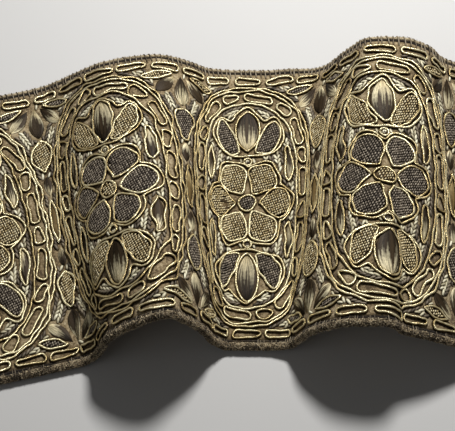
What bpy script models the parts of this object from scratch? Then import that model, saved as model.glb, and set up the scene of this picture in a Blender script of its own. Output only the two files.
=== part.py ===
"""Cut length of a gold cord trim, lying in two waves on a table.

The trim is a band of brown wool cloth with gold cords sewn down on it in oval medallions, and a
whipped cord along each long edge. X runs along the trim, Y across it and Z up. The origin is the
middle of the flat underside of the third medallion. Lengths in the tables are in millimetres.
"""
import math

import bpy
import numpy as np

MM = 0.001

# Flat sizes of the trim
LENGTH = 240.0
WIDTH = 90.0
REPEAT = 48.0
MEDALLIONS = 5
BAND_THICKNESS = 1.5
FAR_EDGE_DIAMETER = 1.7
NEAR_EDGE_DIAMETER = 2.6
GAP = 0.3

# Gold cords, laid a little above the band so that the meshes stay apart
CORD_DIAMETER = 0.9
CORD_GAP = 0.48
CORD_STEP = 2.1

# Mesh steps
ALONG_STEP = 2.0
FLAT_STEP = 6.0
ACROSS_STEPS = 6
TRACK_STEP = 0.5

# How the trim lies: underside heights of its two long edges
# (station along the trim, far edge height, near edge height)
FOLDS = (
    (-120, 0.0, 0.0),
    (-92, 0.0, 0.0),
    (-73, 0.0, 0.0),
    (-68, 0.5, 2.5),
    (-61, 3.0, 8.5),
    (-54, 6.5, 15.0),
    (-46, 10.0, 20.5),
    (-36, 11.5, 25.0),
    (-31, 11.0, 21.5),
    (-25, 8.5, 16.5),
    (-19, 5.0, 11.0),
    (-12, 1.0, 4.5),
    (-5, 0.0, 0.0),
    (5, 0.0, 0.0),
    (12, 1.0, 1.5),
    (19, 1.5, 7.0),
    (25, 4.5, 12.5),
    (31, 9.5, 17.0),
    (38, 15.5, 21.0),
    (46, 21.0, 22.0),
    (54, 21.5, 16.5),
    (62, 18.0, 13.0),
    (71, 11.0, 8.5),
    (81, 6.0, 3.0),
    (92, 0.0, 0.0),
    (120, 0.0, 0.0),
)

# Medallion outlines, seen flat from its centre
FRAME_HALF_LENGTH = 20.6
FRAME_HALF_WIDTH = 37.2
FRAME_POWER = 2.5
ROSETTE_PETALS = 6
ROSETTE_NOTCH_RADIUS = 11.3
ROSETTE_TIP_RADIUS = 14.7
# Right half of the three-petal tulip (along, across), from its foot to its middle tip
TULIP_HALF = (
    (0.0, 15.2),
    (4.2, 15.3),
    (8.6, 17.0),
    (11.0, 20.4),
    (11.1, 23.6),
    (9.6, 27.0),
    (7.9, 27.9),
    (5.0, 26.8),
    (3.0, 29.2),
    (0.0, 31.6),
)

# Colours
WOOL_BROWN = (0.20, 0.155, 0.095)
EDGE_BROWN = (0.24, 0.19, 0.12)
OLD_GOLD = (0.62, 0.50, 0.28)


def smooth_table(stations, values, at):
    """Read a table at the given stations: smooth between its rows, with no bulge past a row."""
    step = np.diff(stations)
    slope = np.diff(values) / step
    before = 2.0 * step[1:] + step[:-1]
    after = step[1:] + 2.0 * step[:-1]
    tangent = np.zeros(len(stations))
    same_way = slope[:-1] * slope[1:] > 0.0
    pull = before[same_way] / slope[:-1][same_way] + after[same_way] / slope[1:][same_way]
    tangent[1:-1][same_way] = (before + after)[same_way] / pull
    row = np.clip(np.searchsorted(stations, at, side="right") - 1, 0, len(step) - 1)
    along = (at - stations[row]) / step[row]
    rest = 1.0 - along
    start = values[row] * (1.0 + 2.0 * along) * rest**2 + tangent[row] * step[row] * along * rest**2
    end = values[row + 1] * (3.0 - 2.0 * along) * along**2
    return start + end - tangent[row + 1] * step[row] * along**2 * rest


def running_sum(values):
    """Sum of the values along the trim, zero at its middle."""
    total = np.concatenate([[0.0], np.cumsum((values[1:] + values[:-1]) * 0.5 * TRACK_STEP)])
    return total - total[len(total) // 2]


def lay_edges():
    """Stations, and the underside's far and near edge in space, with no stretch along either."""
    stations = np.arange(-LENGTH / 2, LENGTH / 2 + TRACK_STEP / 2, TRACK_STEP)
    table = np.array(FOLDS, dtype=float)
    far_height = smooth_table(table[:, 0], table[:, 1], stations)
    near_height = smooth_table(table[:, 0], table[:, 2], stations)
    far_run = np.sqrt(1.0 - np.gradient(far_height, TRACK_STEP) ** 2)
    near_run = np.sqrt(1.0 - np.gradient(near_height, TRACK_STEP) ** 2)
    heading = -running_sum(far_run - near_run) / WIDTH
    run = (far_run + near_run) / 2.0
    middle_x = running_sum(run * np.cos(heading))
    middle_y = running_sum(run * np.sin(heading))
    reach = np.sqrt(WIDTH**2 - (far_height - near_height) ** 2) / 2.0
    side_x = -np.sin(heading) * reach
    side_y = np.cos(heading) * reach
    far = np.stack([middle_x + side_x, middle_y + side_y, far_height], axis=1)
    near = np.stack([middle_x - side_x, middle_y - side_y, near_height], axis=1)
    return stations, far, near


STATIONS, FAR_EDGE, NEAR_EDGE = lay_edges()


def read_edges(along):
    """Points of the far and near edge at the given stations."""
    far = np.stack([np.interp(along, STATIONS, FAR_EDGE[:, axis]) for axis in range(3)], axis=-1)
    near = np.stack([np.interp(along, STATIONS, NEAR_EDGE[:, axis]) for axis in range(3)], axis=-1)
    return far, near


def underside(along, across):
    """Points of the underside, for stations along the trim and distances from its middle line."""
    far, near = read_edges(along)
    share = (across / WIDTH + 0.5)[..., None]
    return near + (far - near) * share


def lifted(along, across, height):
    """Points at a height above the underside, square to the cloth."""
    ahead = underside(along + TRACK_STEP, across) - underside(along - TRACK_STEP, across)
    aside = underside(along, across + 1.0) - underside(along, across - 1.0)
    normal = np.cross(ahead, aside)
    normal = normal / np.linalg.norm(normal, axis=-1, keepdims=True)
    return underside(along, across) + normal * np.asarray(height)[..., None]


def even_steps(points, step):
    """The same closed outline with its points an even step apart."""
    closed = np.vstack([points, points[:1]])
    gone = np.concatenate([[0.0], np.cumsum(np.linalg.norm(np.diff(closed, axis=0), axis=1))])
    count = max(8, round(gone[-1] / step))
    at = np.arange(count) * gone[-1] / count
    return np.stack([np.interp(at, gone, closed[:, axis]) for axis in range(2)], axis=1)


def smooth_outline(corners, pieces=8):
    """A closed curve through the corners."""
    corners = np.asarray(corners, dtype=float)
    before = np.roll(corners, 1, axis=0)
    after = np.roll(corners, -1, axis=0)
    beyond = np.roll(corners, -2, axis=0)
    points = []
    for share in np.arange(pieces) / pieces:
        points.append(
            corners
            + 0.5 * share * (after - before)
            + share**2 * (before - 2.5 * corners + 2.0 * after - 0.5 * beyond)
            + share**3 * (1.5 * (corners - after) + 0.5 * (beyond - before))
        )
    return np.stack(points, axis=1).reshape(-1, 2)


def oval_outline():
    """The medallion's frame, fuller than an ellipse."""
    turn = np.linspace(0.0, 2.0 * math.pi, 720, endpoint=False)
    bend = 2.0 / FRAME_POWER
    along = FRAME_HALF_LENGTH * np.sign(np.cos(turn)) * np.abs(np.cos(turn)) ** bend
    across = FRAME_HALF_WIDTH * np.sign(np.sin(turn)) * np.abs(np.sin(turn)) ** bend
    return np.stack([along, across], axis=1)


def rosette_outline():
    """Round petals about the centre."""
    turn = np.linspace(0.0, 2.0 * math.pi, 360, endpoint=False)
    petal = np.abs(np.cos(ROSETTE_PETALS * turn / 2.0))
    radius = ROSETTE_NOTCH_RADIUS + (ROSETTE_TIP_RADIUS - ROSETTE_NOTCH_RADIUS) * petal
    return np.stack([radius * np.cos(turn), radius * np.sin(turn)], axis=1)


def tulip_outline(side):
    """The tulip beyond the rosette: side is 1 for the far one and -1 for the near one."""
    right = [(along, across * side) for along, across in TULIP_HALF]
    left = [(-along, across) for along, across in reversed(right[1:-1])]
    return smooth_outline(right + left)


def new_material(name, colour, roughness, metallic):
    material = bpy.data.materials.new(name)
    material.use_nodes = True
    shader = material.node_tree.nodes["Principled BSDF"]
    shader.inputs["Base Color"].default_value = (*colour, 1.0)
    shader.inputs["Roughness"].default_value = roughness
    shader.inputs["Metallic"].default_value = metallic
    return material


def add_object(collection, name, data, material):
    data.materials.append(material)
    piece = bpy.data.objects.new(name, data)
    collection.objects.link(piece)
    return piece


def band_stations():
    """Mesh stations: wide steps where the band lies flat, close ones in the waves."""
    stations = [FOLDS[0][0]]
    for (start, *heights), (end, *next_heights) in zip(FOLDS, FOLDS[1:]):
        lies_flat = max(heights + next_heights) == 0.0
        step = FLAT_STEP if lies_flat else ALONG_STEP
        count = max(1, round((end - start) / step))
        stations.extend(np.linspace(start, end, count + 1)[1:])
    return np.array(stations)


def make_band(collection):
    """The cloth: its underside as an open grid, given its thickness by Solidify."""
    low = -WIDTH / 2 + NEAR_EDGE_DIAMETER + GAP
    high = WIDTH / 2 - FAR_EDGE_DIAMETER - GAP
    lines = np.linspace(low, high, ACROSS_STEPS + 1)
    points = underside(*np.meshgrid(band_stations(), lines, indexing="ij"))
    columns = ACROSS_STEPS + 1
    faces = []
    for row in range(points.shape[0] - 1):
        for column in range(ACROSS_STEPS):
            corner = row * columns + column
            faces.append((corner, corner + columns, corner + columns + 1, corner + 1))
    mesh = bpy.data.meshes.new("band")
    mesh.from_pydata((points.reshape(-1, 3) * MM).tolist(), [], faces)
    band = add_object(collection, "band", mesh, new_material("brown_wool", WOOL_BROWN, 0.95, 0.0))
    mesh.shade_smooth()
    mesh.set_sharp_from_angle(angle=math.radians(40.0))
    thickness = band.modifiers.new("Thickness", "SOLIDIFY")
    thickness.thickness = BAND_THICKNESS * MM
    thickness.offset = 1.0
    thickness.use_even_offset = True


def make_tube(collection, name, points, diameter, closed, resolution, material):
    """A cord along the points."""
    curve = bpy.data.curves.new(name, "CURVE")
    curve.dimensions = "3D"
    curve.twist_mode = "Z_UP"
    curve.bevel_depth = diameter / 2.0 * MM
    curve.bevel_resolution = resolution
    curve.use_fill_caps = not closed
    spline = curve.splines.new("POLY")
    spline.points.add(len(points) - 1)
    for place, point in zip(spline.points, points * MM):
        place.co = (*point, 1.0)
    spline.use_cyclic_u = closed
    spline.use_smooth = True
    return add_object(collection, name, curve, material)


def make_edge(collection, name, side, diameter, material):
    """The whipped cord along one long edge, its underside level with the band's."""
    along = band_stations()
    across = np.full(len(along), side * (WIDTH - diameter) / 2.0)
    points = lifted(along, across, np.full(len(along), diameter / 2.0))
    make_tube(collection, name, points, diameter, False, 1, material)


def make_cord_loop(collection, name, outline, centre, material):
    """A closed gold cord on the band, along a flat outline about a medallion's centre."""
    flat = even_steps(outline, CORD_STEP)
    height = np.full(len(flat), BAND_THICKNESS + CORD_GAP + CORD_DIAMETER / 2.0)
    points = lifted(flat[:, 0] + centre, flat[:, 1], height)
    make_tube(collection, name, points, CORD_DIAMETER, True, 0, material)


def make_trim():
    for piece in list(bpy.data.objects):
        bpy.data.objects.remove(piece, do_unlink=True)
    collection = bpy.data.collections.new("gold_cord_trim")
    bpy.context.scene.collection.children.link(collection)
    make_band(collection)
    edging = new_material("brown_edging", EDGE_BROWN, 0.9, 0.0)
    make_edge(collection, "edge_far", 1, FAR_EDGE_DIAMETER, edging)
    make_edge(collection, "edge_near", -1, NEAR_EDGE_DIAMETER, edging)
    gold = new_material("gold_cord", OLD_GOLD, 0.38, 0.7)
    for index in range(MEDALLIONS):
        centre = (index - (MEDALLIONS - 1) / 2.0) * REPEAT
        number = index + 1
        make_cord_loop(collection, f"frame_{number}", oval_outline(), centre, gold)
        make_cord_loop(collection, f"rosette_{number}", rosette_outline(), centre, gold)
        make_cord_loop(collection, f"tulip_far_{number}", tulip_outline(1), centre, gold)
        make_cord_loop(collection, f"tulip_near_{number}", tulip_outline(-1), centre, gold)


make_trim()
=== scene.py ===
"""A cut length of gold cord trim in two waves: brown wool band, couched cords, stitch fillings.

Lengths in the tables are in millimetres, as in the part, and meshes are made in metres. A flat
point is (along, across): its station along the trim and its distance from the middle line.
"""
import math
from collections import namedtuple

import bpy
import numpy as np
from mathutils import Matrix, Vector


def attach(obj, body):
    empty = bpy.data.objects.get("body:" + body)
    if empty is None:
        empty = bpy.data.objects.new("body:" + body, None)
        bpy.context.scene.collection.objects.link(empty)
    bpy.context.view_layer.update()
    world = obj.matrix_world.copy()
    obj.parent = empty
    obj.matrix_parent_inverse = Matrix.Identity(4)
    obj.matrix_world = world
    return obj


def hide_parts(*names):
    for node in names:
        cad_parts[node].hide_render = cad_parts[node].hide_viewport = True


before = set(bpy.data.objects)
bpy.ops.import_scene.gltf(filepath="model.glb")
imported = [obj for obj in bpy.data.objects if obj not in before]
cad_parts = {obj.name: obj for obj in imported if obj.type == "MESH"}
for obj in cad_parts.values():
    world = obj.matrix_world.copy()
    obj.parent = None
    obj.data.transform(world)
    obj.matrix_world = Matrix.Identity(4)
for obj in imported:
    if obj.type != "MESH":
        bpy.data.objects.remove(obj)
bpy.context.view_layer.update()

MM = 0.001
PI = math.pi

# Camera at the photo's viewpoint, 65 degrees above the table, and the lights, in metres and watts
CAMERA_TARGET = (-0.0057, -0.0039, 0.0015)
CAMERA_PLACE = (-0.0038, -0.1814, 0.3821)
CAMERA_LENS = 115.0
FLOOR_DROP = 0.0002
FLOOR_COLOUR = (0.62, 0.61, 0.59, 1.0)
WORLD_COLOUR = (0.97, 0.98, 1.0, 1.0)
WORLD_STRENGTH = 0.05
# Lights: name, place, diameter and power
LIGHTS = (
    ("key", (0.055, 0.19, 0.30), 0.07, 1.53),
    ("fill", (-0.50, -0.30, 0.60), 0.60, 0.3),
)

# Flat sizes, as in the part
LENGTH = 240.0
END = LENGTH / 2
WIDTH = 90.0
REPEAT = 48.0
MEDALLIONS = 5
BAND_THICKNESS = 1.5
FAR_EDGE_DIAMETER = 1.7
NEAR_EDGE_DIAMETER = 2.6
EDGE_GAP = 0.3
TRACK_STEP = 0.5
BAND_FAR = WIDTH / 2 - FAR_EDGE_DIAMETER - EDGE_GAP
BAND_NEAR = -WIDTH / 2 + NEAR_EDGE_DIAMETER + EDGE_GAP

# Band: points of its mesh along and across, its broad and small unevenness, the fray of its ends
BAND_GRID = (221, 81)
PUCKER = (0.13, 0.07)
FRAY = (0.10, 0.07)

# First numbers of the random draws
SEEDS = {"medallion": 100, "gaps": 200, "bars": 300, "far": 401, "near": 402}

# How the trim lies: (station, height of the underside at the far edge, height at the near edge)
FOLDS = (
    (-120, 0.0, 0.0),
    (-92, 0.0, 0.0),
    (-73, 0.0, 0.0),
    (-68, 0.5, 2.5),
    (-61, 3.0, 8.5),
    (-54, 6.5, 15.0),
    (-46, 10.0, 20.5),
    (-36, 11.5, 25.0),
    (-31, 11.0, 21.5),
    (-25, 8.5, 16.5),
    (-19, 5.0, 11.0),
    (-12, 1.0, 4.5),
    (-5, 0.0, 0.0),
    (5, 0.0, 0.0),
    (12, 1.0, 1.5),
    (19, 1.5, 7.0),
    (25, 4.5, 12.5),
    (31, 9.5, 17.0),
    (38, 15.5, 21.0),
    (46, 21.0, 22.0),
    (54, 21.5, 16.5),
    (62, 18.0, 13.0),
    (71, 11.0, 8.5),
    (81, 6.0, 3.0),
    (92, 0.0, 0.0),
    (120, 0.0, 0.0),
)

# Gold cord: two plies wound with metal, drawn in at every couching stitch
CORD_RADIUS = 0.42
CORD_STEP = 0.5
CORD_SIDES = 7
CORD_RISE = 0.38
CORD_PLY = 0.10
CORD_TURN = 2.6
CORD_WRAP = 0.42
# Painted highlight and shade: how much lighter the cord's tone is on top and darker at its sides
CORD_PAINTED_LIGHT = 0.42
COUCH_PITCH = 2.7
COUCH_PINCH = 0.16
# How far a cord strays from its drawn line, in waves of (length, share), less on a short leaf
HAND_WOBBLE = 0.21
HAND_WAVES = ((14.0, 1.0), (8.0, 0.75), (4.6, 0.35), (2.9, 0.15))
SHORT_LEAF = 6.0

# Medallion outlines, seen flat from its centre, as in the part
FRAME_HALF_SIZE = (20.6, 37.2)
FRAME_POWER = 2.5
ROSETTE_PETALS = 6
ROSETTE_NOTCH_RADIUS = 11.3
ROSETTE_TIP_RADIUS = 14.7
# Right half of the three-petal tulip (along, across), from its foot to its middle tip
TULIP_HALF = (
    (0.0, 15.2),
    (4.2, 15.3),
    (8.6, 17.0),
    (11.0, 20.4),
    (11.1, 23.6),
    (9.6, 27.0),
    (7.9, 27.9),
    (5.0, 26.8),
    (3.0, 29.2),
    (0.0, 31.6),
)
# Lines beside the frame cord, by their distance outside it
SECOND_CORD = 0.95
INNER_CORD = -4.5
# Links inside the frame, long and short by turns: (length, width), and their turn in radians
LINK_LINE = -2.25
LINK_PAIRS = 10
LINK_SIZES = ((9.5, 2.6), (5.5, 2.8))
LINK_TURNS = (0.05, 0.22)
LINK_SPACE = 1.3
LINK_SKEW = 0.18
LINK_TAPER = 0.14
LINK_WOBBLE = 0.8 * HAND_WOBBLE

# Bars along both edges
BARS_PER_REPEAT = 5
BAR_LINE = 40.35
BAR_SIZE = (8.2, 2.0)
BAR_TURN = 0.03
BAR_STRAY = 0.08

# One stitched cell: a leaf from its base along a heading, with its half width, where its belly
# lies, how pointed its ends are (0.5 round, 1 sharp) and how far it bends. Angles are in degrees.
# Fills: main and other are basket stitches, gold or dark by turns; satin and flip are satin
# stitches, light to dark or back; button is dark satin, and gold is golden.
Leaf = namedtuple("Leaf", "fill along across heading length half_width belly point bend")

PETAL = Leaf("main", 3.3, 0.0, 0.0, 10.2, 4.6, 0.62, 0.60, 0.0)
BUTTON = Leaf("other", -2.5, 0.0, 0.0, 5.0, 2.5, 0.5, 0.5, 0.0)
CORNER_LEAF = Leaf("satin", 12.75, 6.4, 93.0, 11.6, 1.4, 0.45, 0.7, 14.0)
# Towards each edge: the tulip
TULIP_RING = Leaf("button", -1.15, 13.2, 0.0, 2.3, 1.15, 0.5, 0.5, 0.0)
TULIP_MIDDLE = Leaf("satin", 0.0, 16.3, 90.0, 14.2, 3.4, 0.52, 0.62, 0.0)
TULIP_SIDE = Leaf("other", 2.3, 16.4, 60.0, 12.6, 3.1, 0.50, 0.62, 60.0)
# Between the medallions, from the middle of the gap
FAN = (
    Leaf("satin", 0.0, 38.2, -90.0, 10.8, 2.7, 0.62, 0.66, 0.0),
    Leaf("flip", 1.9, 37.7, -46.0, 9.2, 2.2, 0.60, 0.66, 14.0),
    Leaf("other", 3.3, 38.0, -12.0, 8.8, 1.25, 0.55, 0.70, 6.0),
)
GAP_LEAF = Leaf("main", 0.0, 26.4, -90.0, 10.8, 3.2, 0.42, 0.70, 0.0)
GAP_SEED = Leaf("flip", 0.0, 14.6, -90.0, 6.6, 1.75, 0.45, 0.7, 0.0)
GAP_DIAMOND = Leaf("gold", 0.0, -6.8, 90.0, 13.6, 1.55, 0.5, 0.9, 0.0)

# Padded cells under basket and satin stitches
FILL_INSET = 0.4
PAD_INSET = 0.6 * FILL_INSET
PAD_SHOULDER = 1.7
PAD_SINK = 0.12
BASKET_HEIGHT = 0.45
BASKET_PAD_HEIGHT = BASKET_HEIGHT - 0.08
BASKET_PAD_GRID = (8, 12)
SATIN_HEIGHT = 0.65
SATIN_RIDGE = 0.1
SATIN_ROWS = 10
SHORT_SATIN_ROWS = 6
STRAND_WIDTH = 0.36

# A stitch is a rounded grain of rings, (share of its length, fullness), between two end points.
# Its size is (length, width, thickness).
GRAIN_SIDES = 5
GRAIN_RINGS = ((-0.36, 0.8), (0.0, 1.0), (0.36, 0.8))
GRAIN_BOW = 0.9
GRAIN_SINK = 0.4
# Painted highlight on top of each grain and painted shade beneath it, added to its tone
GRAIN_PAINTED_LIGHT = 0.18
# Painted shade at the grain's sunk ends, where it dips into the cloth
GRAIN_END_PAINTED_SHADE = -0.15
GRAIN_TURN = 6.0
STITCH_SIZE = (0.98, 0.49, 0.22)
STITCH_PITCH = (1.02, 0.53)
STITCH_HEADING = 62.0
STITCH_STRAY = 0.05
BASKET_STRAY = 0.3
GOLD_UNEVEN = 0.18
DARK_UNEVEN = 0.22

# Rows of slanted stitches that cover the ground: two grey rows and two silver ones by turns, from
# (first line outside the frame, pitch, count)
ROW_PITCH = 0.9
ROWS = {"rows": (-5.65, -ROW_PITCH, 18), "gap_rows": (2.05, ROW_PITCH, 12)}
ROWS_END = 38.5
ROW_STITCH = (2.35, 0.9, 0.26)
ROW_STITCH_PITCH = 1.35
ROW_SLANT = 22.0
ROW_UNEVEN = 0.24
ROW_CLEARANCE = 0.66
END_MARGIN = 0.6

# Whipped edges, flat section seen along the trim: places are (outward, up) from the edge's middle
Edge = namedtuple(
    "Edge", "side diameter roll groove pitch thread loop bite uneven tufts hairs hair_length"
)
Roll = namedtuple("Roll", "place radius tone")
# The groove cord between the roll and the band has a low tone: painted shade in the groove
FAR_SEWING = Edge(
    side=1, diameter=FAR_EDGE_DIAMETER,
    roll=Roll((0.22, 0.0), 0.58, 0.75), groove=Roll((-0.62, 0.12), 0.42, 0.0),
    pitch=1.5, thread=0.17, loop=0.70, bite=1.25, uneven=0,
    tufts=0, hairs=1000, hair_length=0.6,
)
NEAR_SEWING = Edge(
    side=-1, diameter=NEAR_EDGE_DIAMETER,
    roll=Roll((0.08, -0.04), 1.12, 0.5), groove=Roll((-1.3, 0.02), 0.42, 0.25),
    pitch=0.72, thread=0.12, loop=1.09, bite=0.45, uneven=1,
    tufts=4600, hairs=1700, hair_length=0.5,
)
ROLL_LUMP = 0.04
# Whipping: sweep round the roll in degrees, heights over the band's face, lean in pitches
WHIP_SWEEP = (-62.0, 115.0)
WHIP_HEIGHTS = (0.26, 0.16, -0.4)
WHIP_LEAN = 0.3

# Fuzz: a fibre's drift along the edge, highest angle, thickness and how much thinner it ends.
# The highest and lowest angle are in degrees, the curl and the floor in radians.
Fibre = namedtuple("Fibre", "drift highest thick taper")
HAIR = Fibre(0.3, 140.0, 0.065, 0.045)
TUFT = Fibre(0.45, 120.0, 0.15, 0.08)
TUFT_LENGTH = 0.22
FIBRE_LOWEST = -25.0
FIBRE_CURL = 0.35
FIBRE_FLOOR = -0.45
FIBRE_ROOT = 0.1
FUZZ_MARGIN = 0.5


def smooth_table(stations, values, at):
    """Read a table at the given stations: smooth between its rows, with no bulge past a row."""
    step = np.diff(stations)
    slope = np.diff(values) / step
    before = 2.0 * step[1:] + step[:-1]
    after = step[1:] + 2.0 * step[:-1]
    tangent = np.zeros(len(stations))
    same_way = slope[:-1] * slope[1:] > 0.0
    pull = before[same_way] / slope[:-1][same_way] + after[same_way] / slope[1:][same_way]
    tangent[1:-1][same_way] = (before + after)[same_way] / pull
    row = np.clip(np.searchsorted(stations, at, side="right") - 1, 0, len(step) - 1)
    along = (at - stations[row]) / step[row]
    rest = 1.0 - along
    start = values[row] * (1.0 + 2.0 * along) * rest**2 + tangent[row] * step[row] * along * rest**2
    end = values[row + 1] * (3.0 - 2.0 * along) * along**2
    return start + end - tangent[row + 1] * step[row] * along**2 * rest


def running_sum(values):
    """Sum of the values along the trim, zero at its middle."""
    total = np.concatenate([[0.0], np.cumsum((values[1:] + values[:-1]) * 0.5 * TRACK_STEP)])
    return total - total[len(total) // 2]


def lay_edges():
    """Stations, and the underside's far and near edge in space, with no stretch along either."""
    stations = np.arange(-END, END + TRACK_STEP / 2, TRACK_STEP)
    rows, *heights = np.array(FOLDS, dtype=float).T
    far_height, near_height = (smooth_table(rows, values, stations) for values in heights)
    far_run = np.sqrt(1.0 - np.gradient(far_height, TRACK_STEP) ** 2)
    near_run = np.sqrt(1.0 - np.gradient(near_height, TRACK_STEP) ** 2)
    heading = -running_sum(far_run - near_run) / WIDTH
    run = (far_run + near_run) / 2.0
    middle_x = running_sum(run * np.cos(heading))
    middle_y = running_sum(run * np.sin(heading))
    reach = np.sqrt(WIDTH**2 - (far_height - near_height) ** 2) / 2.0
    side_x = -np.sin(heading) * reach
    side_y = np.cos(heading) * reach
    far = np.stack([middle_x + side_x, middle_y + side_y, far_height], axis=1)
    near = np.stack([middle_x - side_x, middle_y - side_y, near_height], axis=1)
    return stations, far, near


STATIONS, FAR_EDGE, NEAR_EDGE = lay_edges()


def underside(along, across):
    """Points of the underside."""
    far, near = (
        np.stack([np.interp(along, STATIONS, values) for values in edge.T], axis=-1)
        for edge in (FAR_EDGE, NEAR_EDGE)
    )
    share = (across / WIDTH + 0.5)[..., None]
    return near + (far - near) * share


def unit(vectors):
    return vectors / np.linalg.norm(vectors, axis=-1, keepdims=True)


def distance_gone(line):
    """How far along an open line each of its points is."""
    return np.concatenate([[0.0], np.cumsum(np.linalg.norm(np.diff(line, axis=0), axis=1))])


def around(line):
    """Directions along a closed line."""
    return unit(np.roll(line, -1, axis=0) - np.roll(line, 1, axis=0))


def outward(line):
    """Directions out of a closed flat line that turns left."""
    ahead = around(line)
    return np.stack([ahead[:, 1], -ahead[:, 0]], axis=1)


def cloth_frame(along, across):
    """Underside points with the directions along, across and square to the cloth there."""
    along = np.clip(along, -END, END)
    high = np.minimum(along + TRACK_STEP, END)
    low = np.maximum(along - TRACK_STEP, -END)
    ahead = unit(underside(high, across) - underside(low, across))
    aside = underside(along, across + 1.0) - underside(along, across - 1.0)
    normal = unit(np.cross(ahead, aside))
    return underside(along, across), ahead, np.cross(normal, ahead), normal


def pucker(along, across):
    """Small unevenness of the embroidered cloth."""
    swell = np.sin(along * 0.37 + across * 0.21 + 0.4) * np.sin(across * 0.29 - along * 0.12 + 1.1)
    small = np.sin(along * 0.83 - across * 0.47) * np.sin(across * 0.71 + along * 0.29 + 2.0)
    return PUCKER[0] * swell + PUCKER[1] * small


def on_band(along, across, height):
    """Points at a height above the band's upper face."""
    base, _, _, normal = cloth_frame(along, across)
    lift = BAND_THICKNESS + pucker(along, across) + height
    return base + normal * np.asarray(lift)[..., None]


def even_steps(points, step):
    """The same closed outline with its points an even step apart."""
    closed = np.vstack([points, points[:1]])
    gone = distance_gone(closed)
    count = max(8, round(gone[-1] / step))
    at = np.arange(count) * gone[-1] / count
    return np.stack([np.interp(at, gone, values) for values in closed.T], axis=1)


def smooth_outline(corners):
    """A closed curve through the corners."""
    corners = np.array(corners)[:, None]
    before, after, beyond = (np.roll(corners, places, axis=0) for places in (1, -1, -2))
    share = (np.arange(8) / 8)[:, None]
    points = (
        corners
        + 0.5 * share * (after - before)
        + share**2 * (before - 2.5 * corners + 2.0 * after - 0.5 * beyond)
        + share**3 * (1.5 * (corners - after) + 0.5 * (beyond - before))
    )
    return points.reshape(-1, 2)


def ways(turn):
    """Flat directions at the given turns."""
    return np.stack([np.cos(turn), np.sin(turn)], axis=1)


def frame_line(outside=0.0):
    """The medallion's frame, fuller than an ellipse, or a line a distance outside it."""
    way = ways(np.linspace(0.0, 2.0 * PI, 720, endpoint=False))
    half_size = np.array(FRAME_HALF_SIZE) + outside
    return half_size * np.sign(way) * np.abs(way) ** (2.0 / FRAME_POWER)


def rosette_outline():
    """Round petals about the centre."""
    turn = np.linspace(0.0, 2.0 * PI, 360, endpoint=False)
    petal = np.abs(np.cos(ROSETTE_PETALS * turn / 2.0))
    radius = ROSETTE_NOTCH_RADIUS + (ROSETTE_TIP_RADIUS - ROSETTE_NOTCH_RADIUS) * petal
    return radius[:, None] * ways(turn)


def tulip_outline(side):
    """The tulip beyond the rosette: side is 1 for the far one and -1 for the near one."""
    right = [(along, across * side) for along, across in TULIP_HALF]
    left = [(-along, across) for along, across in reversed(right[1:-1])]
    return smooth_outline(right + left)


def link_outline(turn_by, size, rng):
    """A long loop with round ends about its centre, a little skewed and wider at one end."""
    length, width = size
    reach = (length - width) / 2.0
    turn = np.linspace(-PI / 2, PI / 2, 9)
    right = ways(turn) * width / 2 + (reach, 0.0)
    x, y = np.vstack([right, -right]).T
    skew = rng.normal(0.0, LINK_SKEW)
    taper = rng.normal(0.0, LINK_TAPER)
    outline = np.stack([x + skew * y, y * (1.0 + taper * x / reach)], axis=1)
    cosine = math.cos(turn_by)
    sine = math.sin(turn_by)
    return outline @ np.array([[cosine, sine], [-sine, cosine]])


def bent_along(line, middle, outline):
    """The outline laid along a closed line, its centre at the given distance round it."""
    out = outward(line)
    step = np.linalg.norm(line[1] - line[0])
    at = (middle + outline[:, 0]) / step
    low = np.floor(at).astype(int)
    share = (at - low)[:, None]
    low = low % len(line)
    high = (low + 1) % len(line)
    base = line[low] * (1.0 - share) + line[high] * share
    side = out[low] * (1.0 - share) + out[high] * share
    return base + side * outline[:, 1:]


def leaf_point(leaf, share, side, inset=0.0):
    """Flat points of a leaf: share runs 0 to 1 from base to tip, side -1 to 1 across it."""
    share = share * (1.0 - 2.0 * inset / leaf.length) + inset / leaf.length
    start = math.radians(leaf.heading - leaf.bend / 2.0)
    bend = math.radians(leaf.bend)
    heading = start + bend * share
    if leaf.bend:
        radius = leaf.length / bend
        along = leaf.along + radius * (np.sin(heading) - math.sin(start))
        across = leaf.across - radius * (np.cos(heading) - math.cos(start))
    else:
        along = leaf.along + leaf.length * share * math.cos(start)
        across = leaf.across + leaf.length * share * math.sin(start)
    skew = math.log(0.5) / math.log(leaf.belly)
    swell = np.clip(np.sin(PI * share**skew), 0.0, 1.0) ** leaf.point
    half = np.maximum(leaf.half_width * swell - inset, 0.02) * side
    return along - np.sin(heading) * half, across + np.cos(heading) * half


def leaf_outline(leaf, inset=0.0):
    """The closed outline of a leaf, turning left."""
    sweep = (1.0 - np.cos(np.linspace(0.0, PI, 60))) / 2.0
    there = leaf_point(leaf, sweep, -1.0, inset)
    back = leaf_point(leaf, sweep[::-1], 1.0, inset)
    return np.stack([np.concatenate([a[:-1], b[:-1]]) for a, b in zip(there, back)], axis=1)


def mirrored(leaf, along=False, across=False):
    """The leaf on the other side of the medallion's long or short middle line."""
    if along:
        leaf = leaf._replace(along=-leaf.along, heading=180.0 - leaf.heading, bend=-leaf.bend)
    if across:
        leaf = leaf._replace(across=-leaf.across, heading=-leaf.heading, bend=-leaf.bend)
    return leaf


def moved(leaves, centre):
    return [leaf._replace(along=leaf.along + centre) for leaf in leaves]


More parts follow.
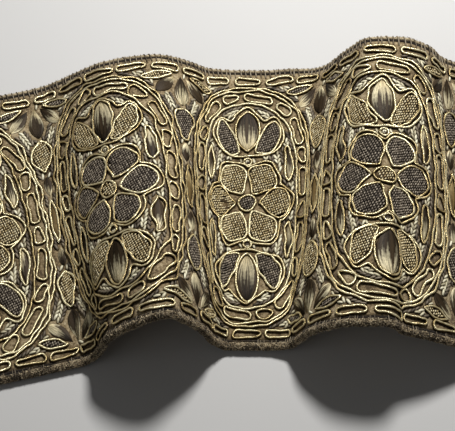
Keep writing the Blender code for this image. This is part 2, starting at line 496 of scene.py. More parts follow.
class Heap:
    """Vertices, faces and per-vertex numbers of many small shapes that end up in one mesh."""

    def __init__(self):
        self.parts = []
        self.count = 0

    def add(self, points, quads, triangles, tone, reach):
        quads = np.asarray(quads, dtype=np.int64).reshape(-1, 4) + self.count
        triangles = np.asarray(triangles, dtype=np.int64).reshape(-1, 3) + self.count
        marks = [np.broadcast_to(values, len(points)) for values in (tone, reach)]
        self.parts.append((points, quads, triangles, *marks))
        self.count += len(points)

    def make(self, name, material):
        points, quads, triangles, tone, reach = map(np.concatenate, zip(*self.parts))
        corners = np.concatenate([quads.ravel(), triangles.ravel()])
        sizes = np.concatenate([np.full(len(quads), 4), np.full(len(triangles), 3)])
        mesh = bpy.data.meshes.new(name)
        mesh.vertices.add(len(points))
        mesh.vertices.foreach_set("co", points.ravel() * MM)
        mesh.loops.add(len(corners))
        mesh.loops.foreach_set("vertex_index", corners)
        mesh.polygons.add(len(sizes))
        mesh.polygons.foreach_set("loop_start", np.cumsum(sizes) - sizes)
        mesh.update(calc_edges=True)
        mesh.validate()
        for label, values in (("tone", tone), ("reach", reach)):
            mark = mesh.attributes.new(label, "FLOAT", "POINT")
            mark.data.foreach_set("value", values.astype(np.float32))
        mesh.shade_smooth()
        mesh.materials.append(material)
        piece = bpy.data.objects.new(name, mesh)
        bpy.context.scene.collection.objects.link(piece)
        return piece


def grid_quads(rows, columns):
    """Faces of a sheet of points in rows: so many faces each way."""
    wide = columns + 1
    corner = np.arange(rows)[:, None] * wide + np.arange(columns)[None, :]
    return np.stack([corner, corner + wide, corner + wide + 1, corner + 1], axis=-1).reshape(-1, 4)


def grid_rim(rows, columns):
    """Points about such a sheet, along its first row first."""
    grid = np.arange((rows + 1) * (columns + 1)).reshape(rows + 1, columns + 1)
    return np.concatenate([grid[0, :-1], grid[:-1, -1], grid[-1, :0:-1], grid[:0:-1, 0]])


def dress(heap, name, material, nodes=()):
    """Make the heap one piece that rides on the trim and stands for the solids."""
    if not heap.count:
        return None
    piece = heap.make(name, material)
    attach(piece, "root")
    if nodes:
        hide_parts(*nodes)
    return piece


def tube(heap, points, normals, radius, sides, closed=False, ply=0.0, turn=1.0, tone=0.5, painted_light_and_shade=0.0):
    """A round or two-ply cord through the points, its tone lighter on top and darker at the sides
    by the given painted highlight and shade.
    """
    ahead = around(points) if closed else unit(np.gradient(points, axis=0))
    side = unit(np.cross(ahead, normals))
    up = np.cross(side, ahead)
    gone = distance_gone(points)
    angle = 2.0 * PI * np.arange(sides) / sides + PI / 2
    turns = max(1, round(gone[-1] / turn))
    twist = 2.0 * PI * turns * np.arange(len(points))[:, None] / len(points)
    size = (np.asarray(radius) * np.ones(len(points)))[:, None]
    size = size * (1.0 + ply * np.cos(2.0 * (angle[None, :] - twist)))
    ring = np.cos(angle)[None, :, None] * side[:, None] + np.sin(angle)[None, :, None] * up[:, None]
    shell = points[:, None] + ring * size[..., None]
    rows = len(points)
    here = np.arange(rows * sides).reshape(rows, sides)
    beside = np.roll(here, -1, axis=1)
    corners = (here, np.roll(here, -1, axis=0), np.roll(beside, -1, axis=0), beside)
    quads = np.stack(corners, axis=-1)
    triangles = []
    if not closed:
        quads = quads[:-1]
        last = (rows - 1) * sides
        for k in range(1, sides - 1):
            triangles.append((0, k, k + 1))
            triangles.append((last, last + k + 1, last + k))
    # Painted highlight on top of the cord, painted shade at its sides and below
    tones = np.tile(tone + painted_light_and_shade * (2.0 * np.clip(np.sin(angle), 0.0, 1.0) ** 2 - 1.0), rows)
    heap.add(shell.reshape(-1, 3), quads, triangles, tones, np.repeat(gone, sides))


def hand_laid(points, rng, amount):
    """A closed outline laid by hand: a little off the drawn line, in a few smooth waves."""
    share = np.arange(len(points)) / len(points)
    length = len(points) * CORD_STEP
    offset = np.zeros(len(points))
    for wave, strength in HAND_WAVES:
        cycles = max(1, round(length / wave))
        swing = rng.normal(0.0, amount * strength)
        offset += swing * np.sin(2.0 * PI * (cycles * share + rng.random()))
    return points + outward(points) * offset[:, None]


def cord_loop(heap, outline, rng, wobble=HAND_WOBBLE):
    """A closed gold cord along a flat outline, drawn in at each couching stitch."""
    flat = hand_laid(even_steps(outline, CORD_STEP), rng, wobble)
    share = np.arange(len(flat)) / len(flat)
    couchings = max(2, round(len(flat) * CORD_STEP / COUCH_PITCH))
    wave = np.cos(2.0 * PI * (couchings * share + rng.random()))
    radius = CORD_RADIUS * (1.0 - COUCH_PINCH * np.clip(wave, 0.0, 1.0) ** 4)
    height = CORD_RISE + rng.uniform(-0.04, 0.06)
    _, _, _, normals = cloth_frame(*flat.T)
    points = on_band(*flat.T, height)
    tone = rng.uniform(0.35, 0.65)
    tube(heap, points, normals, radius, CORD_SIDES, True, CORD_PLY, CORD_TURN, tone, CORD_PAINTED_LIGHT)


def stitches(heap, flat, heading, size, height, rng, uneven):
    """Short raised stitches on the cloth, each a closed rounded grain."""
    count = len(flat)
    _, ahead, aside, normal = cloth_frame(*flat.T)
    base = on_band(*flat.T, height)
    turn = np.radians(heading + rng.normal(0.0, GRAIN_TURN, count))
    run = ahead * np.cos(turn)[:, None] + aside * np.sin(turn)[:, None]
    cross = np.cross(normal, run)
    scale = rng.uniform(0.9, 1.1, count)
    length, width, thick = (value * scale for value in size)
    sides = GRAIN_SIDES
    start_point = len(GRAIN_RINGS) * sides
    end_point = start_point + 1
    last_ring = start_point - sides
    angle = 2.0 * PI * np.arange(sides) / sides + 0.3
    points = np.empty((count, end_point + 1, 3))
    for i, (stop, fat) in enumerate(GRAIN_RINGS):
        bow = thick * (1.0 - (2.0 * stop) ** 2) * GRAIN_BOW
        middle = base + run * (length * stop)[:, None] + normal * bow[:, None]
        for k, a in enumerate(angle):
            out = cross * (width * 0.5 * fat * math.cos(a))[:, None]
            points[:, i * sides + k] = middle + out + normal * (thick * fat * math.sin(a))[:, None]
    half = run * (length * 0.5)[:, None]
    sunk = normal * (thick * GRAIN_SINK)[:, None]
    points[:, start_point] = base - half - sunk
    points[:, end_point] = base + half - sunk
    quads = []
    triangles = []
    for k in range(sides):
        after = (k + 1) % sides
        for ring in range(0, last_ring, sides):
            quads.append((ring + after, ring + sides + after, ring + sides + k, ring + k))
        triangles.append((after, k, start_point))
        triangles.append((last_ring + k, last_ring + after, end_point))
    start = (np.arange(count) * (end_point + 1))[:, None, None]
    # Painted light and shade: each grain is lighter on top, darker below and at its ends where it
    # dips into the cloth
    ring_painted_light = np.tile(GRAIN_PAINTED_LIGHT * np.sin(angle), len(GRAIN_RINGS))
    painted_light_and_shade = np.append(ring_painted_light, (GRAIN_END_PAINTED_SHADE, GRAIN_END_PAINTED_SHADE))
    tone = (np.clip(rng.normal(0.5, uneven, count), 0.0, 1.0)[:, None] + painted_light_and_shade).ravel()
    heap.add(
        points.reshape(-1, 3),
        (np.array(quads)[None] + start).reshape(-1, 4),
        (np.array(triangles)[None] + start).reshape(-1, 3),
        tone,
        0.5,
    )


def nearest(points, others):
    """Distance from each flat point to the nearest of the others."""
    return np.sqrt(((points[:, None] - others[None]) ** 2).sum(axis=2)).min(axis=1)


def inside(outline, points):
    """Which flat points lie in a closed outline."""
    end = np.roll(outline, -1, axis=0)
    x = points[:, :1]
    y = points[:, 1:]
    spans = (outline[:, 1] > y) != (end[:, 1] > y)
    run, drop = (end - outline).T
    drop = np.where(drop == 0.0, 1e-9, drop)
    crossing = outline[:, 0] + (y - outline[:, 1]) / drop * run
    return (np.sum(spans & (x < crossing), axis=1) % 2) == 1


def pad_rise(outline, points):
    """Height of a padded cell, 0 at its outline and 1 inside, round at its shoulders."""
    slope = 1.0 - np.clip(nearest(points, outline) / PAD_SHOULDER, 0.0, 1.0)
    return np.sqrt(1.0 - slope**2)


def leaf_pad(heap, leaf, height, ridge, columns, rows, tones, ends=(0.0, 1.0)):
    """A padded cell: a domed skin with an underside, ridged in strands where ridge is above 0."""
    share = (1.0 - np.cos(np.linspace(0.0, PI, rows + 1))) / 2.0
    side = np.linspace(-1.0, 1.0, columns + 1)
    shares, sides = np.meshgrid(share, side, indexing="ij")
    along, across = leaf_point(leaf, shares, sides, PAD_INSET)
    flat = np.stack([along.ravel(), across.ravel()], axis=1)
    rise = pad_rise(leaf_outline(leaf, PAD_INSET), flat).reshape(shares.shape)
    strand = np.where(np.arange(columns + 1) % 2 == 1, 1.0, -1.0)[None, :]
    lift = -PAD_SINK + (height + PAD_SINK) * rise + ridge * strand * rise
    points = on_band(along, across, lift).reshape(-1, 3)
    rim = grid_rim(rows, columns)
    triangles = [(rim[0], rim[k], rim[k + 1]) for k in range(1, len(rim) - 1)]
    tone = np.broadcast_to(np.repeat(tones, 2)[None, :columns + 1], shares.shape)
    reach = ends[0] + (ends[1] - ends[0]) * shares
    heap.add(points, grid_quads(rows, columns), triangles, tone.ravel(), reach.ravel())


def basket(heap, leaf, rng, uneven):
    """Rows of short stitches filling a cell, each row half a stitch on from the last."""
    outline = leaf_outline(leaf, FILL_INSET)
    reach = leaf.length * 0.75
    length, width = STITCH_PITCH
    rows = int(reach / width)
    spots = int(reach / length)
    row, spot = np.mgrid[-rows:rows + 1, -spots:spots + 1]
    x = (spot + 0.5 * (row % 2)) * length
    y = row * width
    turn = math.radians(STITCH_HEADING)
    flat = np.stack([
        x * math.cos(turn) - y * math.sin(turn),
        x * math.sin(turn) + y * math.cos(turn),
    ], axis=-1).reshape(-1, 2)
    flat = flat + outline.mean(axis=0) + rng.uniform(-BASKET_STRAY, BASKET_STRAY, 2)
    flat += rng.normal(0.0, STITCH_STRAY, flat.shape)
    flat = flat[inside(outline, flat)]
    height = BASKET_HEIGHT * pad_rise(leaf_outline(leaf, PAD_INSET), flat)
    heading = np.full(len(flat), STITCH_HEADING)
    stitches(heap, flat, heading, STITCH_SIZE, height, rng, uneven)


def stitch_rows(label, number, shift, cords, kept_out, rng):
    """Rows of slanted stitches beside the frame, none under cords, in cells or past the repeat."""
    silver = Heap()
    grey = Heap()
    first, pitch, count = ROWS[label]
    for k in range(count):
        path = even_steps(frame_line(first + pitch * k), ROW_STITCH_PITCH)
        ahead = around(path)
        heading = np.degrees(np.arctan2(ahead[:, 1], ahead[:, 0])) + ROW_SLANT * (-1) ** k
        flat = path + shift
        free = (np.abs(path[:, 0]) < REPEAT / 2) & (np.abs(path[:, 1]) < ROWS_END)
        free &= np.abs(flat[:, 0]) < END - END_MARGIN
        free &= nearest(flat, cords) > ROW_CLEARANCE
        for outline in kept_out:
            free &= ~inside(outline, flat)
        flat = flat[free]
        heap = silver if k % 4 in (1, 2) else grey
        height = rng.uniform(0.0, 0.12, len(flat))
        stitches(heap, flat, heading[free], ROW_STITCH, height, rng, ROW_UNEVEN)
    dress(silver, f"silver_{label}_{number}", SILVER_STITCH)
    dress(grey, f"grey_{label}_{number}", GREY_STITCH)


class Fillings:
    """The fillings of a group of cells, one heap for each look."""

    def __init__(self, gold_main):
        self.gold_main = gold_main
        self.heaps = {look: Heap() for look in FILLING_LOOKS}

    def fill(self, leaf, rng):
        if leaf.fill in ("main", "other"):
            self.fill_basket(leaf, rng)
        else:
            self.fill_satin(leaf, rng)

    def fill_basket(self, leaf, rng):
        gold = (leaf.fill == "main") == self.gold_main
        columns, rows = BASKET_PAD_GRID
        tones = np.full(columns // 2 + 1, 1.0 if gold else 0.0)
        leaf_pad(self.heaps["pads"], leaf, BASKET_PAD_HEIGHT, 0.0, columns, rows, tones)
        look, uneven = ("gold_basket", GOLD_UNEVEN) if gold else ("dark_basket", DARK_UNEVEN)
        basket(self.heaps[look], leaf, rng, uneven)

    def fill_satin(self, leaf, rng):
        strands = max(4, round(2.0 * leaf.half_width / STRAND_WIDTH))
        heap = self.heaps["gold_satin" if leaf.fill == "gold" else "satin"]
        ends = (1.0, 0.0) if (leaf.fill == "flip") == self.gold_main else (0.0, 1.0)
        if leaf.fill == "button":
            ends = (1.0, 1.0)
        rows = SHORT_SATIN_ROWS if leaf.length < SHORT_LEAF else SATIN_ROWS
        tones = rng.random(strands + 1)
        leaf_pad(heap, leaf, SATIN_HEIGHT, SATIN_RIDGE, 2 * strands, rows, tones, ends)

    def dress(self, label):
        for look, (material, slot) in FILLING_LOOKS.items():
            dress(self.heaps[look], f"{look}_{label}", material)


def set_inputs(tree, node, inputs):
    """Give inputs, by name or place, their values or other nodes' outputs."""
    for key, value in inputs.items():
        if isinstance(value, bpy.types.NodeSocket):
            tree.links.new(value, node.inputs[key])
        else:
            node.inputs[key].default_value = value


def new_node(tree, kind, inputs, operation=None):
    node = tree.nodes.new(f"ShaderNode{kind}")
    if operation:
        node.operation = operation
    set_inputs(tree, node, inputs)
    return node


def shader_material(name, roughness, metallic, specular=0.3):
    """A new material, its node tree and its shader."""
    material = bpy.data.materials.new(name)
    material.use_nodes = True
    tree = material.node_tree
    shader = tree.nodes["Principled BSDF"]
    finish = {"Roughness": roughness, "Metallic": metallic, "Specular IOR Level": specular}
    set_inputs(tree, shader, finish)
    return material, tree, shader


def mark_value(tree, name):
    """A per-vertex number as a node output."""
    node = new_node(tree, "Attribute", {})
    node.attribute_name = name
    return node.outputs["Fac"]


def noise_value(tree, scale, detail=3.0, roughness=0.6):
    """Noise fixed to the object: scale is in features a millimetre."""
    place = new_node(tree, "TexCoord", {}).outputs["Object"]
    inputs = {"Vector": place, "Scale": scale / MM, "Detail": detail, "Roughness": roughness}
    return new_node(tree, "TexNoise", inputs).outputs["Fac"]


def ramp_colour(tree, value, positions, colours):
    """Colour from a value: one colour at each position."""
    ramp = new_node(tree, "ValToRGB", {"Fac": value})
    elements = ramp.color_ramp.elements
    for position in positions[1:-1]:
        elements.new(position)
    for element, position, colour in zip(elements, positions, colours):
        element.position = position
        element.color = (*colour, 1.0)
    return ramp.outputs["Color"]


def maths(tree, operation, first, second):
    """One arithmetic node; each value is a number or a node output."""
    return new_node(tree, "Math", {0: first, 1: second}, operation).outputs["Value"]


def vector_maths(tree, operation, inputs):
    return new_node(tree, "VectorMath", inputs, operation).outputs["Vector"]


def weighted(tree, *terms):
    """Sum of (value, weight) pairs."""
    total = 0.0
    for value, weight in terms:
        total = maths(tree, "ADD", maths(tree, "MULTIPLY", value, weight), total)
    return total


def set_colour_and_painted_shade(tree, shader, colour, shade, distance):
    """Give the shader its colour with painted shade: darker and browner by the shade where it lies
    in a crease.
    """
    # Painted shade: ambient occlusion darkens and browns the colour in creases and beside raised
    # parts
    crease = new_node(tree, "AmbientOcclusion", {"Distance": distance * MM}).outputs["AO"]
    deep = 1.0 - shade
    half = 1.0 - shade / 2.0
    painted_shade_tints = ((deep, 0.8 * deep, 0.5 * deep), (half, 0.92 * half, 0.78 * half), (1.0, 1.0, 1.0))
    painted_shade_tint = ramp_colour(tree, crease, (0.32, 0.62, 0.92), painted_shade_tints)
    painted_shade_colour = vector_maths(tree, "MULTIPLY", {0: colour, 1: painted_shade_tint})
    set_inputs(tree, shader, {"Base Color": painted_shade_colour})


def add_bump(tree, shader, value, distance):
    """Bump by a value, its full height given in millimetres."""
    bump = new_node(tree, "Bump", {"Distance": distance * MM, "Height": value})
    set_inputs(tree, shader, {"Normal": bump.outputs["Normal"]})


def cord_material():
    """Metal-wrapped cord: fine turns of wrap, slow changes of tarnish, and the painted highlight
    and shade carried in its tone.
    """
    material, tree, shader = shader_material("gold_cord_metal", 0.28, 0.6, specular=0.7)
    # Tarnish noise, mixed with the tone that holds painted highlight on top and painted shade at
    # the sides
    tarnish_and_painted_light = weighted(tree, (noise_value(tree, 0.4, 4.0), 0.5), (mark_value(tree, "tone"), 0.5))
    colour = ramp_colour(tree, tarnish_and_painted_light, (0.37, 0.54, 0.67), CORD_TONES)
    # Painted shade: darker and browner in creases
    set_colour_and_painted_shade(tree, shader, colour, shade=0.9, distance=1.3)
    wound = maths(tree, "MULTIPLY", mark_value(tree, "reach"), 2.0 * PI / CORD_WRAP)
    turns = maths(tree, "SINE", wound, 0.0)
    bump = weighted(tree, (turns, 1.0), (noise_value(tree, 3.0), 1.2))
    add_bump(tree, shader, bump, distance=0.03)
    return material


def thread_material(name, tones, roughness, metallic):
    """Thread stitches: each with its own tone and the painted light and shade of its grains, with
    painted shade in creases, finely grained.
    """
    material, tree, shader = shader_material(name, roughness, metallic)
    mixed = weighted(tree, (mark_value(tree, "tone"), 0.6), (noise_value(tree, 1.3), 0.45))
    colour = ramp_colour(tree, mixed, (0.2, 0.5, 0.85), tones)
    # Painted shade: darker and browner in creases
    set_colour_and_painted_shade(tree, shader, colour, shade=0.87, distance=0.8)
    add_bump(tree, shader, noise_value(tree, 5.0, 2.0), distance=0.05)
    return material


def satin_material(name, base, tip):
    """Satin stitches: long strands from one colour into another, meeting in a ragged line."""
    material, tree, shader = shader_material(name, 0.5, 0.1, specular=0.15)
    tone = mark_value(tree, "tone")
    grain = noise_value(tree, 1.1)
    mixed = weighted(tree, (mark_value(tree, "reach"), 1.0), (tone, 0.62), (grain, 0.4))
    between = tuple((first + second) * 0.42 for first, second in zip(base, tip))
    colour = ramp_colour(tree, mixed, (0.72, 0.85, 1.0), (base, between, tip))
    strand = weighted(tree, (tone, 1.3), (noise_value(tree, 2.2), 0.7))
    colour = vector_maths(tree, "SCALE", {"Vector": colour, "Scale": strand})
    # Painted shade: darker and browner in creases
    set_colour_and_painted_shade(tree, shader, colour, shade=0.8, distance=0.8)
    add_bump(tree, shader, noise_value(tree, 4.0, 2.0), distance=0.08)
    return material


def fibre_material(name, tones, scale, shade, bump):
    """Felted or fuzzy wool: fibre noise in two sizes, and slow patches."""
    material, tree, shader = shader_material(name, 0.9, 0.0)
    set_inputs(tree, shader, {"Sheen Weight": 0.08, "Sheen Roughness": 0.5})
    fibre = noise_value(tree, scale, 5.0, 0.72)
    own = maths(tree, "SUBTRACT", mark_value(tree, "tone"), 0.5)
    mixed = weighted(tree, (noise_value(tree, 0.16, 2.0), 0.35), (fibre, 0.65), (own, 0.4))
    colour = ramp_colour(tree, mixed, (0.41, 0.5, 0.6), tones)
    # Painted shade: darker and browner in creases
    set_colour_and_painted_shade(tree, shader, colour, shade, distance=2.0)
    add_bump(tree, shader, noise_value(tree, scale * 2.0, 5.0, 0.75), bump)
    return material


def pad_material():
    """Cloth under the basket stitches: the tone picks the gold or the dark one."""
    material, tree, shader = shader_material("pad_ground", 0.85, 0.0)
    shift = maths(tree, "MULTIPLY", maths(tree, "SUBTRACT", noise_value(tree, 1.4), 0.5), 0.5)
    mixed = maths(tree, "ADD", mark_value(tree, "tone"), shift)
    colour = ramp_colour(tree, mixed, (0.0, 0.4, 1.0), PAD_TONES)
    # Painted shade: darker and browner in creases
    set_colour_and_painted_shade(tree, shader, colour, shade=0.8, distance=1.0)
    add_bump(tree, shader, noise_value(tree, 2.8, 4.0, 0.7), distance=0.1)
    return material


# Base colours, from the dark to the light of each cord, thread or cloth
CORD_TONES = ((0.085, 0.052, 0.017), (0.53, 0.385, 0.15), (1.0, 0.90, 0.57))
WOOL_TONES = ((0.112, 0.076, 0.038), (0.36, 0.265, 0.14), (0.568, 0.464, 0.292))
EDGING_TONES = ((0.018, 0.012, 0.007), (0.176, 0.13, 0.075), (0.546, 0.449, 0.29))
FUZZ_TONES = ((0.035, 0.026, 0.015), (0.246, 0.187, 0.114), (0.686, 0.59, 0.414))
GOLD_TONES = ((0.232, 0.155, 0.06), (0.575, 0.455, 0.235), (0.93, 0.83, 0.56))
DARK_TONES = ((0.06, 0.046, 0.036), (0.183, 0.149, 0.113), (0.44, 0.375, 0.288))
SILVER_TONES = ((0.26, 0.215, 0.125), (0.62, 0.56, 0.38), (0.92, 0.87, 0.65))
GREY_TONES = ((0.03, 0.023, 0.015), (0.107, 0.084, 0.058), (0.292, 0.241, 0.168))
WHIPPING_TONES = ((0.07, 0.053, 0.033), (0.202, 0.158, 0.106), (0.37, 0.312, 0.22))
PAD_TONES = ((0.045, 0.036, 0.03), (0.09, 0.073, 0.058), (0.13, 0.085, 0.035))
SILVER = (1.0, 0.89, 0.59)
SHADOW = (0.045, 0.031, 0.017)
GOLD_SILK = (0.70, 0.55, 0.28)
DEEP_GOLD = (0.22, 0.15, 0.06)

GOLD_CORD = cord_material()
WOOL = fibre_material("brown_wool_felt", WOOL_TONES, scale=1.5, shade=0.9, bump=0.35)
EDGING = fibre_material("brown_edging", EDGING_TONES, scale=2.6, shade=0.85, bump=0.25)
FUZZ = fibre_material("wool_fuzz", FUZZ_TONES, scale=0.7, shade=0.3, bump=0.02)
GOLD_STITCH = thread_material("gold_stitches", GOLD_TONES, roughness=0.45, metallic=0.3)
DARK_STITCH = thread_material("dark_stitches", DARK_TONES, roughness=0.5, metallic=0.1)
SILVER_STITCH = thread_material("silver_stitches", SILVER_TONES, roughness=0.5, metallic=0.1)
GREY_STITCH = thread_material("grey_stitches", GREY_TONES, roughness=0.5, metallic=0.1)
WHIPPING = thread_material("whipping_thread", WHIPPING_TONES, roughness=0.8, metallic=0.0)
PAD_GROUND = pad_material()
SATIN = satin_material("silver_to_dark_satin", SILVER, SHADOW)
GOLD_SATIN = satin_material("gold_satin", GOLD_SILK, DEEP_GOLD)
FILLING_LOOKS = {
    "gold_basket": (GOLD_STITCH, "gold_stitch"),
    "dark_basket": (DARK_STITCH, "dark_stitch"),
    "pads": (PAD_GROUND, "dark_stitch"),
    "satin": (SATIN, "silver_thread"),
    "gold_satin": (GOLD_SATIN, "gold_stitch"),
}


def make_band():
    """The wool cloth, uneven above and plain below, a little frayed at its cut ends."""
    rows, wide = BAND_GRID
    along = np.linspace(-END, END, rows)
    across = np.linspace(BAND_NEAR, BAND_FAR, wide)
    stations, lines = np.meshgrid(along, across, indexing="ij")
    fray = np.sin(lines * 2.3) * FRAY[0] + np.sin(lines * 5.1 + 1.0) * FRAY[1]
    top = on_band(stations, lines, np.zeros(stations.shape))
    base = underside(stations, lines)
    _, ahead, _, _ = cloth_frame(stations[[0, -1]], lines[[0, -1]])
    for shell in (top, base):
        shell[0] -= ahead[0] * fray[0][:, None]
        shell[-1] += ahead[1] * fray[-1][:, None]
    upper = grid_quads(rows - 1, wide - 1)
    lower = upper[:, ::-1] + rows * wide
    following = grid_rim(rows - 1, wide - 1)[::-1]
    rim = np.roll(following, 1)
    wall = np.stack([following, rim, rim + rows * wide, following + rows * wide], axis=1)
    heap = Heap()
    points = np.concatenate([top.reshape(-1, 3), base.reshape(-1, 3)])
    heap.add(points, np.concatenate([upper, lower, wall]), [], 0.5, 0.5)
    band = dress(heap, "wool_band", WOOL, ["band"])


def link_border(rng):
    """The links between the frame and the cord inside it."""
    line = even_steps(frame_line(LINK_LINE), CORD_STEP)
    stretch = len(line) * CORD_STEP / LINK_PAIRS / sum(size[0] + LINK_SPACE for size in LINK_SIZES)
    middle = 0.0
    links = []
    for k in range(2 * LINK_PAIRS):
        length, width = LINK_SIZES[k % 2]
        half_step = (length + LINK_SPACE) * stretch / 2.0
        length = length * stretch * rng.uniform(0.9, 1.04)
        width = width * rng.uniform(0.85, 1.06)
        middle += half_step
        link = link_outline(rng.normal(0.0, LINK_TURNS[k % 2]), (length, width), rng)
        links.append((bent_along(line, middle, link), LINK_WOBBLE))
        middle += half_step
    return links


def rosette_leaves():
    """The button and the petals about it."""
    leaves = [BUTTON]
    for k in range(ROSETTE_PETALS):
        turn = 360.0 / ROSETTE_PETALS * k
        x = PETAL.along * math.cos(math.radians(turn))
        y = PETAL.along * math.sin(math.radians(turn))
        leaves.append(PETAL._replace(along=x, across=y, heading=turn))
    return leaves


def tulip_leaves(side):
    leaves = [TULIP_RING, TULIP_MIDDLE, TULIP_SIDE, mirrored(TULIP_SIDE, along=True)]
    return [mirrored(leaf, across=side < 0) for leaf in leaves]


def make_medallion(number):
    """One medallion: frame with links, rosette, two tulips, and the stitches in and beside it."""
    rng = np.random.default_rng(SEEDS["medallion"] + number)
    centre = (number - (MEDALLIONS + 1) / 2.0) * REPEAT
    shift = np.array([centre, 0.0])
    outlines = []

    def cords(kind, drawn, leaves):
        """Cords along the drawn lines and about the leaves, in place of a solid."""
        wobbles = [HAND_WOBBLE * min(1.0, leaf.length / SHORT_LEAF) for leaf in leaves]
        drawn = drawn + list(zip(map(leaf_outline, leaves), wobbles))
        heap = Heap()
        for outline, wobble in drawn:
            outlines.append(even_steps(outline + shift, CORD_STEP))
            cord_loop(heap, outline + shift, rng, wobble)
        dress(heap, f"{kind}_cords_{number}", GOLD_CORD, [f"{kind}_{number}"])

    sides = (False, True)
    corners = [mirrored(CORNER_LEAF, left, near) for left in sides for near in sides]
    border = [(frame_line(outside), HAND_WOBBLE) for outside in (0.0, SECOND_CORD, INNER_CORD)]
    cords("frame", border + link_border(rng), corners)
    rosette = rosette_leaves()
    cords("rosette", [(rosette_outline(), HAND_WOBBLE)], rosette)
    cells = rosette + corners
    for side, label in ((1, "far"), (-1, "near")):
        tulip = tulip_leaves(side)
        cords(f"tulip_{label}", [(tulip_outline(side), HAND_WOBBLE)], tulip)
        cells = cells + tulip
    fillings = Fillings(number % 2 == 1)
    for leaf in moved(cells, centre):
        fillings.fill(leaf, rng)
    fillings.dress(number)

    beyond = [leaf_outline(leaf) for leaf in all_gap_leaves()]
    beyond = [outline for outline in beyond if abs(outline[:, 0].mean() - centre) < 0.75 * REPEAT]
    cords_about = np.concatenate(outlines + beyond)
    kept_out = [rosette_outline() + shift, tulip_outline(1) + shift, tulip_outline(-1) + shift]
    kept_out += [leaf_outline(leaf) for leaf in moved(corners, centre)] + beyond
    for label in ROWS:
        stitch_rows(label, number, shift, cords_about, kept_out, rng)


def gap_leaves():
    """The stitched cells between two medallions."""
    leaves = [GAP_DIAMOND]
    for near in (False, True):
        leaves += [mirrored(leaf, across=near) for leaf in (FAN[0], GAP_LEAF, GAP_SEED)]
        leaves += [mirrored(leaf, left, near) for leaf in FAN[1:] for left in (False, True)]
    return leaves


def all_gap_leaves():
    """The cells of all gaps. Past the end medallions the cut leaves only what fits."""
    leaves = []
    for number in range(MEDALLIONS + 1):
        leaves += moved(gap_leaves(), (number - MEDALLIONS / 2.0) * REPEAT)
    reach = END - END_MARGIN
    return [leaf for leaf in leaves if np.abs(leaf_outline(leaf)[:, 0]).max() < reach]


def make_gaps():
    """The cells between the medallions, gold and dark by turns."""
    rng = np.random.default_rng(SEEDS["gaps"])
    cords = Heap()
    fillings = Fillings(True)
    for leaf in all_gap_leaves():
        fillings.gold_main = round(leaf.along / REPEAT + MEDALLIONS / 2.0) % 2 == 1
        if leaf.fill not in ("satin", "flip"):
            cord_loop(cords, leaf_outline(leaf), rng)
        fillings.fill(leaf, rng)
    dress(cords, "gap_cords", GOLD_CORD)
    fillings.dress("gaps")


def make_bars():
    """The rows of long loops beside both edges."""
    rng = np.random.default_rng(SEEDS["bars"])
    heap = Heap()
    pitch = REPEAT / BARS_PER_REPEAT
    for side in (1, -1):
        for k in range(round(LENGTH / pitch)):
            length = BAR_SIZE[0] * rng.uniform(0.9, 1.04)
            width = BAR_SIZE[1] * rng.uniform(0.9, 1.05)
            place = (-END + (k + 0.5) * pitch, side * BAR_LINE + rng.normal(0.0, BAR_STRAY))
            bar = link_outline(rng.normal(0.0, BAR_TURN), (length, width), rng)
            cord_loop(heap, bar + place, rng)
    dress(heap, "edge_bars", GOLD_CORD)


def beside_edge(edge, along, out, up):
    """Points about an edge roll's middle: a distance outward from it and a height above it."""
    across = np.full(len(along), edge.side * (WIDTH - edge.diameter) / 2.0)
    base, _, aside, normal = cloth_frame(along, across)
    rise = np.asarray(up) + edge.diameter / 2.0
    return base + normal * rise[:, None] + aside * (edge.side * np.asarray(out))[:, None]


def make_roll(edge, label):
    """The roll along an edge and the cord in the groove beside it, darker by its low tone as
    painted shade.
    """
    stations = np.linspace(-END, END, 481)
    _, _, _, normals = cloth_frame(stations, np.zeros(len(stations)))
    lump = np.sin(stations * 1.9) * np.sin(stations * 0.73 + 1.0) * ROLL_LUMP
    heap = Heap()
    for roll in (edge.roll, edge.groove):
        out, up = (np.full(len(stations), value) for value in roll.place)
        points = beside_edge(edge, stations, out, up)
        tube(heap, points, normals, roll.radius + lump, 10, tone=roll.tone)
    dress(heap, f"edge_roll_{label}", EDGING, [f"edge_{label}"])


def make_whipping(edge, label, rng):
    """Close stitches over the roll and down into the band."""
    turn = np.radians(np.linspace(*WHIP_SWEEP, 9))
    on_top = BAND_THICKNESS - edge.diameter / 2.0
    inner = edge.diameter / 2.0 + EDGE_GAP
    bite = (-inner - 0.2, -inner - edge.bite, -inner - edge.bite - 0.1)
    out = np.concatenate([edge.roll.place[0] + edge.loop * np.cos(turn), bite])
    up = np.concatenate([edge.loop * np.sin(turn), on_top + np.array(WHIP_HEIGHTS)])
    drift = np.linspace(-WHIP_LEAN, WHIP_LEAN, len(out)) * edge.pitch
    heap = Heap()
    for centre in np.arange(-END + END_MARGIN, END - END_MARGIN, edge.pitch):
        start = centre + rng.normal(0.0, edge.pitch * 0.15)
        along = np.clip(start + drift * rng.normal(1.0, 0.5), -END, END)
        shorter = 1.0 - rng.uniform(0.0, 0.25) * (out < -inner)
        _, ahead, _, _ = cloth_frame(along, np.zeros(len(along)))
        thread = edge.thread * rng.uniform(0.8, 1.2)
        points = beside_edge(edge, along, out * shorter, up)
        first = rng.integers(0, 1 + 3 * edge.uneven)
        last = len(out) - rng.integers(0, 1 + 6 * edge.uneven)
        shown = slice(first, last)
        tube(heap, points[shown], ahead[shown], thread, 5, tone=rng.random())
    dress(heap, f"edge_whipping_{label}", WHIPPING)


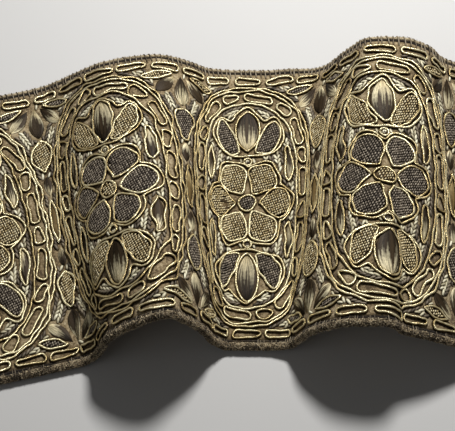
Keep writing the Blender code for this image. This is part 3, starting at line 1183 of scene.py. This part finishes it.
def make_fuzz(edge, label, rng):
    """Loose hairs on the roll, and the short fibres of its tufts."""
    heap = Heap()
    share = np.linspace(0.0, 1.0, 4)
    for k in range(edge.hairs + edge.tufts):
        fibre = HAIR if k < edge.hairs else TUFT
        start = rng.uniform(-END + FUZZ_MARGIN, END - FUZZ_MARGIN)
        drift = rng.normal(0.0, fibre.drift)
        along = np.clip(start + drift * share, -END, END)
        angle = math.radians(rng.uniform(FIBRE_LOWEST, fibre.highest))
        angle = np.maximum(angle + rng.normal(0.0, FIBRE_CURL) * share, FIBRE_FLOOR)
        length = edge.hair_length * rng.uniform(0.35, 1.0) if fibre is HAIR else TUFT_LENGTH
        reach = edge.roll.radius - FIBRE_ROOT + length * share
        _, ahead, _, _ = cloth_frame(along, np.zeros(len(along)))
        out = edge.roll.place[0] + reach * np.cos(angle)
        points = beside_edge(edge, along, out, reach * np.sin(angle))
        thick = fibre.thick - fibre.taper * share
        tube(heap, points, ahead, thick, 3, tone=rng.random())
    dress(heap, f"edge_fuzz_{label}", FUZZ)


def make_edge(edge, label):
    """One edge: its roll with the groove, the whipping over it and its fuzz."""
    rng = np.random.default_rng(SEEDS[label])
    make_roll(edge, label)
    make_whipping(edge, label, rng)
    make_fuzz(edge, label, rng)


def place_and_aim(name, data, location, target):
    """A light or camera at its place, turned to its target."""
    item = bpy.data.objects.new(name, data)
    item.location = location
    aim = Vector(target) - Vector(location)
    item.rotation_euler = aim.to_track_quat("-Z", "Y").to_euler()
    bpy.context.scene.collection.objects.link(item)
    return item


def make_stage():
    """Pale floor, soft lights and the camera."""
    scene = bpy.context.scene
    bpy.ops.mesh.primitive_plane_add(size=4.0, location=(0.0, 0.0, -FLOOR_DROP))
    floor = bpy.context.object
    floor.name = "floor"
    material, tree, shader = shader_material("pale_floor", 0.9, 0.0)
    set_inputs(tree, shader, {"Base Color": FLOOR_COLOUR})
    floor.data.materials.append(material)
    world = bpy.data.worlds.new("studio")
    world.use_nodes = True
    background = world.node_tree.nodes["Background"]
    sky = {"Color": WORLD_COLOUR, "Strength": WORLD_STRENGTH}
    set_inputs(world.node_tree, background, sky)
    scene.world = world
    scene.view_settings.view_transform = "Standard"
    for name, place, size, power in LIGHTS:
        light = bpy.data.lights.new(name, "AREA")
        light.shape = "DISK"
        light.size = size
        light.energy = power
        place_and_aim(name, light, place, (0.0, 0.0, 0.0))
    camera = bpy.data.cameras.new("camera")
    camera.lens = CAMERA_LENS
    camera.sensor_width = 36.0
    camera.clip_start = 0.01
    bpy.context.scene.camera = place_and_aim("camera", camera, CAMERA_PLACE, CAMERA_TARGET)


make_band()
for number in range(1, MEDALLIONS + 1):
    make_medallion(number)
make_gaps()
make_bars()
make_edge(FAR_SEWING, "far")
make_edge(NEAR_SEWING, "near")
make_stage()
